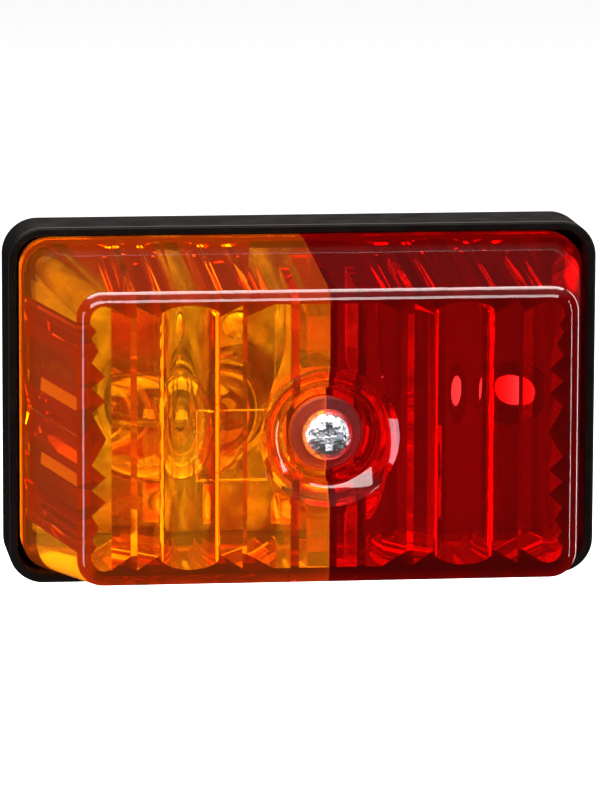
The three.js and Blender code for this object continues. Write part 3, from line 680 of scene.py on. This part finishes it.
def lap_flange():
    """A U-shaped flange that runs left from the partition, just inside the amber walls."""
    sides = []
    outer = WALL + LAP_GAP
    right = PARTITION_THICKNESS / 2
    for inset, rear in ((outer, PARTITION_REAR), (outer + LAP_THICKNESS, PARTITION_REAR - 1)):
        front = LENS_FRONT - inset
        bm = block(LAP_WIDTH + right, 2, rear, front, x=(right - LAP_WIDTH) / 2)
        for vert in bm.verts:
            vert.co.z *= size_at(-vert.co.y)[1] / 2 - inset
        sides.append(bm)
    return combine("DIFFERENCE", *sides, rod(LAP_CLEARANCE, 0, 60))


def dish_recess():
    """What the dish leaves free, from the seat and the groove round it to the front."""
    return turned([(0, SEAT), (5.7, SEAT), (6.0, SEAT - 0.2), (6.15, SEAT - 0.8), (7.2, SEAT - 0.9),
                   (7.7, SEAT - 0.5), (7.95, 47.4), (8.3, 47.9), (8.8, 48.1), (10.6, 49.2),
                   (11.2, 49.8), (11.8, 50.2), (11.8, 52), (0, 52)], steps=96)


# %% [markdown]
# ## Two halves
# The two colours are moulded separately and welded down the middle. A hairline seam is
# left between them, because light does not cross a weld cleanly. A plain raised square
# on the amber half stands for the place where a maker puts its approval mark.

# %% Cut the shell into its halves
SEAM = 0.05  # half the width of the seam between the two colours
MARK_SIDE = 11.9
MARK_PLACE = (-16.0, -1.0)
MARK_LINE = 0.45
MARK_PROUD = 0.2


def tapered_square(side, front_side, rear, front, x, z):
    """A square block whose front is larger or smaller than its rear."""
    bm = block(side, side, rear, front, x, z)
    share = front_side / side
    bmesh.ops.scale(bm, verts=[vert for vert in bm.verts if vert.co.y < -front + TOUCH],
                    vec=(share, 1, share), space=Matrix.Translation((-x, 0, -z)))
    return bm


def mark_frame():
    """A raised square outline with sloping flanks."""
    rear, front = LENS_FRONT - 0.1, LENS_FRONT + MARK_PROUD
    outer = tapered_square(MARK_SIDE, MARK_SIDE - 0.8 * MARK_LINE, rear, front, *MARK_PLACE)
    inner = tapered_square(MARK_SIDE - 2.2 * MARK_LINE, MARK_SIDE - MARK_LINE,
                           rear - 0.1, front + 0.1, *MARK_PLACE)
    return combine("DIFFERENCE", outer, inner)


shell = combine("DIFFERENCE", lens_outside(), lens_hollow())
shell = combine("UNION", shell, lens_middle(), mark_frame())
shell = combine("DIFFERENCE", shell, dish_recess(), rod(SCREW_HOLE, 20, 52))
for node, side, material in (("amber_lens", -1, amber_acrylic), ("red_lens", 1, red_acrylic)):
    one_side = block(60, 80, 0, 60, x=side * (30 + SEAM))
    half = combine("INTERSECT", shell.copy(), one_side)
    if side == 1:
        half = combine("UNION", half, lap_flange())
    finish_piece(node, half, material, "lens")
shell.free()

# %% [markdown]
# ## The boot
# The boot is a soft tray: a floor, a wall with rounded corners and a rounded lip. It is
# made as a block, inset and pushed in, so the wall keeps one thickness round the corners.

# %% Rubber boot
FIXING_X = 39
fixing_holes = [(-FIXING_X, 0, 2.5), (FIXING_X, 0, 2.5)]
cable_x, cable_z = middle_of("cable_grommet")
CABLE_HOLE = 4.2


BOOT_WALL = 1.6
BOOT_FLOOR = 2


def sharp_edges_at(bm, depth):
    return [edge for edge in bm.edges if edge.calc_face_angle() > radians(60)
            and abs(edge.verts[0].co.y + depth) < TOUCH]


def rubber_boot():
    rear, front = boot_depth
    bm = rounded_block(boot_x[1] - boot_x[0], boot_z[1] - boot_z[0], rear, front, 6, segments=16)
    bmesh.ops.inset_region(bm, faces=faces_at(bm, front), thickness=BOOT_WALL,
                           use_even_offset=True)
    inner = max(faces_at(bm, front), key=lambda face: face.calc_area())
    verts = moved_verts(bmesh.ops.extrude_face_region(bm, geom=[inner]))
    bmesh.ops.delete(bm, geom=[inner], context="FACES_ONLY")
    bmesh.ops.translate(bm, verts=verts, vec=(0, front - BOOT_FLOOR, 0))
    clean(bm)
    for depth, offset, segments in ((front, 0.5, 5), (rear, 0.8, 4)):
        round_edges(bm, sharp_edges_at(bm, depth), offset, segments)
    holes = (*fixing_holes, (cable_x, cable_z, CABLE_HOLE))
    return combine("DIFFERENCE", bm, *[rod(radius, -1, 4, x, z) for x, z, radius in holes])


finish_piece("rubber_boot", rubber_boot(), boot_rubber, "base")

# %% [markdown]
# ## The base plate
# The base is one moulding: a plate, a lip that locates the lens, a pillar for the screw
# with four gussets, and two raised seats for the fixing screws. Sunk in its front are a
# channel for the live strip and wells for the spring, the terminal and the rivets.

# %% Base plate
globe_x = middle_of("holder_shell")[0]
EAR_OFFSET = 12.5  # the holder's ears, above and below the globe
EAR_HOLE = 1.7
TERMINAL_X, TERMINAL_Z = 10.6, -17  # the live terminal
STRIP_LOW = -7.7  # height at which the live strip runs across
STRIP_ACROSS = 38.6  # length of the channel that it lies in there
STRIP_CHANNEL = 4  # and the width of that channel
PLATE_REAR = span_of("base_plate")[2][0]
PLATE_FRONT = PLATE_REAR + 3.5
LIP_FRONT = PLATE_FRONT + 5
STRIP_REAR = span_of("live_strip")[2][0]
PLATE_SIZE = 95, 55.4
LIP_OUTSIDE = 89, 49.4
LIP_INSIDE = 86.6, 47
INSERT_HOLE = 3.2


def ear_holes(rear=0):
    """Cutters for the two rivet holes."""
    return [rod(EAR_HOLE, rear, 9, globe_x, end * EAR_OFFSET) for end in (-1, 1)]


def base_plate():
    plate = rounded_block(*PLATE_SIZE, PLATE_REAR, PLATE_FRONT, 4.6)
    lip = combine("DIFFERENCE", rounded_block(*LIP_OUTSIDE, PLATE_REAR + 1, LIP_FRONT, 2.6),
                  rounded_block(*LIP_INSIDE, PLATE_REAR, LIP_FRONT + 1, 1.4))
    pillar = turned([(0, 3), (6.6, 3), (6.6, PLATE_FRONT), (5.9, PLATE_FRONT + 0.7),
                     (5.5, PLATE_FRONT + 2), (5.3, PILLAR_FRONT - 0.4), (4.9, PILLAR_FRONT),
                     (0, PILLAR_FRONT)])
    gussets = [block(width, height, 3, 14) for width, height in ((15.2, 1.4), (1.4, 15.2))]
    seats = [rod(4, 3, 7.2, x, z) for x, z, _ in fixing_holes]
    body = combine("UNION", plate, lip, pillar, *gussets, *seats)
    bore = rod(INSERT_HOLE, 15.2, 30)
    through = [rod(radius, 0, 9, x, z) for x, z, radius in fixing_holes]
    cable_hole = rod(CABLE_HOLE, 0, 9, cable_x, cable_z)
    channel = STRIP_REAR - 0.3, 9
    spring_well = rod(3.6, *channel, globe_x)
    across = block(STRIP_ACROSS, STRIP_CHANNEL, *channel, (globe_x + TERMINAL_X) / 2, STRIP_LOW)
    from_globe = block(STRIP_CHANNEL, 9.7, *channel, globe_x, STRIP_LOW / 2)
    to_terminal = block(STRIP_CHANNEL, 13.3, *channel, TERMINAL_X, (STRIP_LOW + TERMINAL_Z) / 2)
    terminal_well = block(6.6, 7.6, *channel, TERMINAL_X, TERMINAL_Z)
    return combine("DIFFERENCE", body, bore, *through, cable_hole, spring_well, across,
                   from_globe, to_terminal, terminal_well, *ear_holes(channel[0]))


finish_piece("base_plate", base_plate(), black_abs, "base")

# %% [markdown]
# ## The carrier plate and the globe holder
# The carrier is punched sheet. The holder is a drawn shell on a flange with two ears, and
# its bayonet slots let a pin in from the front and then round to its locked place.

# %% Carrier plate and holder shell
PIN_RISE = 5.7  # from the rear of the globe's cap to its pins
SLOT_WIDTH = 2.8


def carrier_plate():
    (left, right), (low, high), (rear, front) = span_of("carrier_plate")
    sheet = rounded_block(right - left, high - low, rear, front, 1.4, x=(left + right) / 2)
    pillar, globe, seat = (
        rod(radius, 0, 9, x) for radius, x in ((7.9, 0), (5.6, globe_x), (5.4, -FIXING_X)))
    return combine("DIFFERENCE", sheet, pillar, globe, seat, *ear_holes())


def holder_shell():
    _, _, (rear, front) = span_of("holder_shell")
    flange_front = rear + 0.8
    body = turned([(7.9, rear + 0.1), (8.0, rear), (10.3, rear), (10.4, rear + 0.1),
                   (10.4, flange_front - 0.1), (10.3, flange_front), (9.1, flange_front),
                   (8.6, flange_front + 0.5), (8.6, front - 0.2), (8.45, front), (8.05, front),
                   (7.9, front - 0.2), (7.9, rear + 0.1)], globe_x, steps=96)
    ear_depth = rear + 0.01, flange_front - 0.01
    for end in (-1, 1):
        body = combine("UNION", body, rod(3.4, *ear_depth, globe_x, end * EAR_OFFSET),
                       block(6.8, 4, *ear_depth, globe_x, end * 10.4))
    pin_depth = span_of("globe_cap")[2][0] + PIN_RISE
    low, high = pin_depth - 3.3, pin_depth + 1.3
    cuts = ear_holes()
    # Each slot is three windows: the locked place, the way round to it and the way in.
    for pin in (90, 270):
        for angle, top in ((pin, high), (pin + 11.3, high - 0.02), (pin + 22.4, front + 1)):
            window = block(4, SLOT_WIDTH, low, top, globe_x + 8.2)
            bmesh.ops.rotate(window, verts=window.verts, cent=at(globe_x, 0, 0),
                             matrix=Matrix.Rotation(-radians(angle), 3, "Y"))
            cuts.append(window)
    return combine("DIFFERENCE", body, *cuts)


finish_piece("carrier_plate", carrier_plate(), zinc_plate, "base")
finish_piece("holder_shell", holder_shell(), zinc_plate, "base")

# %% [markdown]
# ## Lens screw
# A pan-head machine screw, M4 with a 0.7 mm pitch. Its head is a low dome with a cross
# recess, whose arms get narrower towards the bottom. The thread is a small triangle spun
# round the shank while it climbs.

# %% Lens screw
SCREW_REAR, SCREW_FRONT = span_of("lens_screw")[2]
UNDER_HEAD = SCREW_FRONT - 2.7
PITCH = 0.7
THREAD_ROOT, THREAD_CREST = 1.58, 1.9


def cross_recess():
    """Two tapered arms and a pointed middle."""
    arms = []
    for width, height in ((5.2, 1.3), (1.3, 5.2)):
        arm = block(width, height, SCREW_FRONT - 1.9, SCREW_FRONT + 0.5)
        floor_verts = [vert for vert in arm.verts if vert.co.y > -SCREW_FRONT + 1]
        bmesh.ops.scale(arm, verts=floor_verts, vec=(0.62, 1, 0.62))
        arms.append(arm)
    middle = turned([(0, SCREW_FRONT - 2.3), (0.5, SCREW_FRONT - 2.1), (1.25, SCREW_FRONT + 0.5),
                     (0, SCREW_FRONT + 0.5)], steps=24)
    return combine("UNION", arms[0], arms[1], middle)


def thread_ridge(rear, front):
    """A triangle swept round the shank, climbing one pitch in each turn."""
    per_turn = 24
    steps = int((front - rear) / PITCH * per_turn)
    bm = bmesh.new()
    corners = [bm.verts.new(at(radius, 0, rear + rise)) for radius, rise in
               ((THREAD_ROOT, 0), (THREAD_CREST, PITCH / 2), (THREAD_ROOT, PITCH * 0.95))]
    face = bm.faces.new(corners)
    bmesh.ops.spin(bm, geom=[face, *face.edges, *face.verts], cent=(0, 0, 0), axis=(0, 1, 0),
                   angle=tau * steps / per_turn, steps=steps, dvec=(0, -PITCH / per_turn, 0))
    return bm


def lens_screw():
    head = turned([
        (0, SCREW_REAR), (1.0, SCREW_REAR), (1.6, SCREW_REAR + 0.8), (1.6, UNDER_HEAD - 12),
        (THREAD_CREST, UNDER_HEAD - 11.6), (THREAD_CREST, UNDER_HEAD), (3.9, UNDER_HEAD),
        (4.1, UNDER_HEAD + 0.1), (4.2, UNDER_HEAD + 0.4), (4.15, UNDER_HEAD + 1.0),
        (3.9, UNDER_HEAD + 1.6), (3.4, UNDER_HEAD + 2.1), (2.6, UNDER_HEAD + 2.45),
        (1.4, UNDER_HEAD + 2.65), (0, SCREW_FRONT)])
    body = combine("DIFFERENCE", head, cross_recess())
    return gather(body, thread_ridge(SCREW_REAR + 0.8, UNDER_HEAD - 12.6))


finish_piece("lens_screw", lens_screw(), zinc_screw, "screw", sharp_degrees=28)

# %% [markdown]
# ## The globe
# A bayonet globe: a rolled brass cap with two pins, a blown ball of thin glass, and a
# filament coiled like a fine spring between two wires on a bead.

# %% Globe
CAP_REAR, CAP_FRONT = span_of("globe_cap")[2]
GLASS_RADIUS = 9
GLASS_CENTRE = span_of("globe_glass")[2][1] - GLASS_RADIUS
CAP_RADIUS = 7.5
COIL_DEPTH = 33.8
COIL_LENGTH = 4.6
COIL_RADIUS = 0.42


def ball_profile(radius, throat, steps=24):
    """A ball's profile from its front to where it meets a neck of the throat's radius."""
    from_axis = [radius * sin(pi * i / steps) for i in range(steps + 1)]
    along = [GLASS_CENTRE + radius * cos(pi * i / steps) for i in range(steps + 1)]
    return [(r, d) for i, (r, d) in enumerate(zip(from_axis, along))
            if i <= steps / 2 or r >= throat]


def globe_ball():
    rear = CAP_FRONT - 2
    inner = ball_profile(GLASS_RADIUS - 0.6, 6.0)
    outer = ball_profile(GLASS_RADIUS, 6.4)
    return turned([*inner, (5.8, CAP_FRONT + 2), (5.8, rear), (6.4, rear), (6.5, CAP_FRONT + 2),
                   *reversed(outer)], globe_x)


def globe_cap():
    r = CAP_RADIUS
    sleeve = turned([
        (5.1, CAP_REAR), (r - 0.9, CAP_REAR), (r - 0.3, CAP_REAR + 0.3), (r, CAP_REAR + 0.9),
        (r, CAP_FRONT - 1.2), (r - 0.15, CAP_FRONT - 0.9), (r, CAP_FRONT - 0.6),
        (r, CAP_FRONT - 0.15), (r - 0.2, CAP_FRONT), (r - 0.5, CAP_FRONT),
        (r - 0.5, CAP_REAR + 0.9), (5.1, CAP_REAR + 0.9), (5.1, CAP_REAR)], globe_x)
    pins = []
    for side in (-1, 1):
        pin = rod(1.0, -0.85, 0.75)
        bmesh.ops.rotate(pin, verts=pin.verts, matrix=Matrix.Rotation(side * pi / 2, 3, "X"))
        bmesh.ops.translate(pin, verts=pin.verts,
                            vec=at(globe_x, side * (r + 0.55), CAP_REAR + PIN_RISE))
        pins.append(pin)
    return combine("UNION", sleeve, *pins)


def filament_coil():
    """A circle of wire swept along a helix that lies across the globe."""
    turns, per_turn = 16, 12
    steps = turns * per_turn
    bm = bmesh.new()
    start = Matrix.Translation(at(globe_x - COIL_LENGTH / 2, COIL_RADIUS, COIL_DEPTH))
    bmesh.ops.create_circle(bm, segments=6, radius=0.1,
                            matrix=start @ Matrix.Rotation(pi / 2, 4, "X"))
    bmesh.ops.spin(bm, geom=[*bm.verts, *bm.edges], cent=at(0, 0, COIL_DEPTH), axis=(1, 0, 0),
                   angle=tau * turns, steps=steps, dvec=(COIL_LENGTH / steps, 0, 0))
    bmesh.ops.holes_fill(bm, edges=[edge for edge in bm.edges if edge.is_boundary])
    return clean(bm)


def filament():
    body = turned([(0, 21.6), (1.6, 21.6), (2.3, 22.2), (2.4, 23.6), (2.0, 25.0), (1.2, 25.6),
                   (0, 25.6)], globe_x, steps=32)
    for side in (-1, 1):
        body = combine("UNION", body, rod(0.28, 24.5, 34.0, globe_x + side * 2, steps=12))
    return gather(body, filament_coil())


finish_piece("globe_glass", globe_ball(), globe_glass, "globe")
finish_piece("globe_cap", globe_cap(), brass, "globe")
finish_piece("globe_filament", filament(), tungsten, "globe")

# %% [markdown]
# ## Small turned and pressed pieces
# Washers, sleeves, rivets and contacts are all turned, so a list of their profiles makes
# them one after the other. Each stands where its CAD node stands.

# %% Small turned pieces
def span_ring(node, inner, ease=0.1):
    """A ring as big as the CAD node, with a hole of its own."""
    (left, right), _, (rear, front) = span_of(node)
    return ring(inner, (right - left) / 2, rear, front, *middle_of(node), ease)


def rivet(node):
    _, _, (rear, front) = span_of(node)
    head = front - 1.2
    return turned([(0, rear), (1.3, rear), (1.4, rear + 0.1), (1.4, head), (2.4, head),
                   (2.5, head + 0.2), (2.2, head + 0.7), (1.3, head + 1.08), (0, front)],
                  *middle_of(node), steps=40)


def plunger():
    _, _, (rear, front) = span_of("contact_plunger")
    return turned([(0, rear), (1.8, rear), (1.9, rear + 0.1), (1.9, front - 0.4),
                   (1.6, front - 0.1), (0, front)], *middle_of("contact_plunger"), steps=40)


def contact_bead():
    _, _, (rear, front) = span_of("globe_contact")
    return turned([(0, rear), (1.0, rear + 0.08), (1.8, rear + 0.3), (2.2, rear + 0.65),
                   (1.3, rear + 0.75), (1.3, front), (0, front)],
                  *middle_of("globe_contact"), steps=40)


def grommet():
    _, _, (rear, front) = span_of("cable_grommet")
    shoulder = front - 1
    return turned([(3.1, rear + 0.2), (3.3, rear), (3.9, rear), (3.9, shoulder), (5.0, shoulder),
                   (5.2, shoulder + 0.2), (5.2, front - 0.3), (4.9, front), (3.4, front),
                   (3.1, front - 0.3), (3.1, rear + 0.2)], cable_x, cable_z)


for node, bm, material, body, slot in (
    ("screw_seal_ring", span_ring("screw_seal_ring", 2.3, 0.2), boot_rubber, "seal", "boot_rubber"),
    ("threaded_insert", span_ring("threaded_insert", 2.2), brass, "base", "brass"),
    ("insulator_disc", span_ring("insulator_disc", 2.3), phenolic, "base", "phenolic"),
    ("globe_insulator", span_ring("globe_insulator", 1.6, 0.2), vitrite, "globe", "vitrite"),
    ("upper_rivet", rivet("upper_rivet"), zinc_plate, "base", "zinc_plate"),
    ("lower_rivet", rivet("lower_rivet"), zinc_plate, "base", "zinc_plate"),
    ("contact_plunger", plunger(), brass, "plunger", "brass"),
    ("globe_contact", contact_bead(), solder, "globe", "solder"),
    ("cable_grommet", grommet(), boot_rubber, "base", "boot_rubber"),
):
    finish_piece(node, bm, material, body)

# %% [markdown]
# ## Contact spring
# A conical spring of round wire presses the plunger against the globe. It is a circle
# swept along a helix, then drawn in towards its front.

# %% Contact spring
WIRE_RADIUS = 0.28
SPRING_RADII = 2.9, 1.3  # of the wire's middle, at the rear and at the front
SPRING_TURNS = 2.2


def conical_spring(rear, front):
    low, high = rear + WIRE_RADIUS, front - WIRE_RADIUS
    steps = 80
    bm = bmesh.new()
    start = Matrix.Translation(at(globe_x + SPRING_RADII[0], 0, low))
    bmesh.ops.create_circle(bm, segments=12, radius=WIRE_RADIUS, matrix=start)
    bmesh.ops.spin(bm, geom=[*bm.verts, *bm.edges], cent=at(globe_x, 0, 0), axis=(0, 1, 0),
                   angle=tau * SPRING_TURNS, steps=steps, dvec=at(0, 0, (high - low) / steps))
    bmesh.ops.holes_fill(bm, edges=[edge for edge in bm.edges if edge.is_boundary])
    for vert in bm.verts:
        share = min(max((-vert.co.y - low) / (high - low), 0), 1)
        radial = Vector((vert.co.x - globe_x, 0, vert.co.z)).normalized()
        vert.co -= radial * share * (SPRING_RADII[0] - SPRING_RADII[1])
    return bm


_, _, (spring_rear, spring_front) = span_of("contact_spring")
spring = finish_piece("contact_spring", conical_spring(spring_rear, spring_front), spring_wire,
                      "base")
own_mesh(spring)

# %% [markdown]
# ## Terminals
# Two brass blocks take the wires. A cheese-head screw with a slot clamps each wire.

# %% Terminals
for name in ("live", "earth"):
    x, z = middle_of(name + "_terminal_block")
    _, _, (rear, front) = span_of(name + "_terminal_block")
    solid = ease_edges(block(6, 7, rear, front, x, z), 0.3)
    solid = combine("DIFFERENCE", solid, rod(1.7, rear + 4.4, front + 1, x, z),
                    block(2.4, 9, rear + 1.6, rear + 4.2, x, z - 1))
    finish_piece(name + "_terminal_block", solid, brass, "base")
    head = front + 0.3
    screw = turned([(0, rear + 4.7), (1.4, rear + 4.7), (1.4, head), (2.2, head), (2.3, head + 0.1),
                    (2.3, head + 1.3), (2.0, head + 1.6), (0, head + 1.6)], x, z, steps=40)
    screw = combine("DIFFERENCE", screw, block(0.6, 6, front + 1.1, front + 3, x, z))
    finish_piece(name + "_terminal_screw", screw, zinc_screw, name + "_screw")

# %% [markdown]
# ## Parts that keep their CAD shape
# The strip and the gasket have the right shape already. They only need their materials.

# %% Materials on CAD parts
for node, material in (("live_strip", brass), ("lens_seal", foam)):
    nodes[node].data.materials.clear()
    nodes[node].data.materials.append(material)
